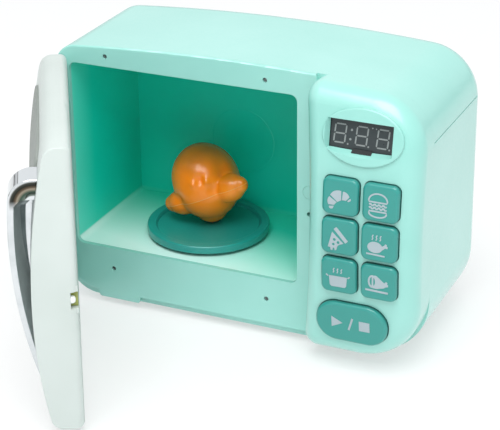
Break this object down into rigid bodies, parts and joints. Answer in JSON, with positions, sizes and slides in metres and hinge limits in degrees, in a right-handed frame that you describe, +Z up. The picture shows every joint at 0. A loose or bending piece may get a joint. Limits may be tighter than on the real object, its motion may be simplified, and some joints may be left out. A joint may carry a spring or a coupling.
{
  "type": "toy microwave",
  "caption": "Toy microwave oven with an open hinged door, push-button panel, turntable and a play chicken inside.",
  "frame": {"origin": "on the table, at the centre of the front left foot's underside", "axes": "+X to the right along the front, -Y out of the front, +Z up"},
  "size_m": [0.28, 0.2884, 0.195],
  "materials": {
    "shell_plastic": "satin",
    "bezel_plastic": "satin",
    "liner_plastic": "satin",
    "door_plastic": "satin",
    "button_plastic": "matt",
    "plate_plastic": "satin",
    "chicken_plastic": "glossy",
    "steel": "brushed",
    "dark_steel": "black oxide",
    "clear_plastic": "clear",
    "white_plastic": "satin",
    "black_plastic": "satin",
    "board_green": "solder mask",
    "motor_can": "plated",
    "battery_wrap": "plain wrap",
    "foot_rubber": "matt",
    "smoked_glass": "smoked",
    "handle_chrome": "polished"
  },
  "bodies": {
    "housing": {"top_cover": "shell_plastic", "rear_housing": "shell_plastic", "front_frame": "bezel_plastic", "hinge_pins": "steel", "bezel_screws": "dark_steel", "cavity_liner": "liner_plastic", "lamp_lens": "clear_plastic", "cavity_lamp": "white_plastic", "display_module": "black_plastic", "control_board": "board_green", "key_switches": "black_plastic", "board_screws": "steel", "rear_screws": "steel", "speaker": "black_plastic", "door_switch": "black_plastic", "turntable_motor": "motor_can", "base_tray": "shell_plastic", "battery_door": "shell_plastic", "battery_screw": "steel", "batteries": "battery_wrap", "battery_contacts": "steel", "feet": "foot_rubber"},
    "door": {"door_outer_shell": "door_plastic", "door_inner_panel": "door_plastic", "door_window": "smoked_glass", "door_handle": "handle_chrome", "handle_screws": "steel", "door_catch": "white_plastic"},
    "door_plunger": {"door_switch_plunger": "bezel_plastic"},
    "turntable": {"turntable_plate": "plate_plastic", "drive_coupling": "white_plastic"},
    "play_chicken": {"chicken_upper_half": "chicken_plastic", "chicken_lower_half": "chicken_plastic"},
    "button_croissant": {"button_croissant": "button_plastic"},
    "button_burger": {"button_burger": "button_plastic"},
    "button_pizza": {"button_pizza": "button_plastic"},
    "button_roast": {"button_roast": "button_plastic"},
    "button_pot": {"button_pot": "button_plastic"},
    "button_ham": {"button_ham": "button_plastic"},
    "start_stop_button": {"start_stop_button": "button_plastic"}
  },
  "joints": [
    {"name": "door_hinge", "type": "hinge", "parent": "housing", "child": "door", "pos_m": [-0.0295, -0.0215, 0], "axis": [0, 0, 1], "range_deg": [-35, 59.6]},
    {"name": "turntable_spin", "type": "hinge", "parent": "housing", "child": "turntable", "pos_m": [0.0515, 0.037, 0], "axis": [0, 0, 1], "continuous": true},
    {"name": "chicken_lift_out", "type": "slide", "parent": "turntable", "child": "play_chicken", "axis": [0, 0, 1], "range_m": [0, 0.03]},
    {"name": "door_plunger_press", "type": "slide", "parent": "housing", "child": "door_plunger", "axis": [0, 1, 0], "range_m": [0, 0.002], "stiffness_N_per_m": 200},
    {"name": "button_croissant_press", "type": "slide", "parent": "housing", "child": "button_croissant", "axis": [0, 1, 0], "range_m": [0, 0.0015], "stiffness_N_per_m": 400},
    {"name": "button_burger_press", "type": "slide", "parent": "housing", "child": "button_burger", "axis": [0, 1, 0], "range_m": [0, 0.0015], "stiffness_N_per_m": 400},
    {"name": "button_pizza_press", "type": "slide", "parent": "housing", "child": "button_pizza", "axis": [0, 1, 0], "range_m": [0, 0.0015], "stiffness_N_per_m": 400},
    {"name": "button_roast_press", "type": "slide", "parent": "housing", "child": "button_roast", "axis": [0, 1, 0], "range_m": [0, 0.0015], "stiffness_N_per_m": 400},
    {"name": "button_pot_press", "type": "slide", "parent": "housing", "child": "button_pot", "axis": [0, 1, 0], "range_m": [0, 0.0015], "stiffness_N_per_m": 400},
    {"name": "button_ham_press", "type": "slide", "parent": "housing", "child": "button_ham", "axis": [0, 1, 0], "range_m": [0, 0.0015], "stiffness_N_per_m": 400},
    {"name": "start_stop_button_press", "type": "slide", "parent": "housing", "child": "start_stop_button", "axis": [0, 1, 0], "range_m": [0, 0.0015], "stiffness_N_per_m": 400}
  ]
}
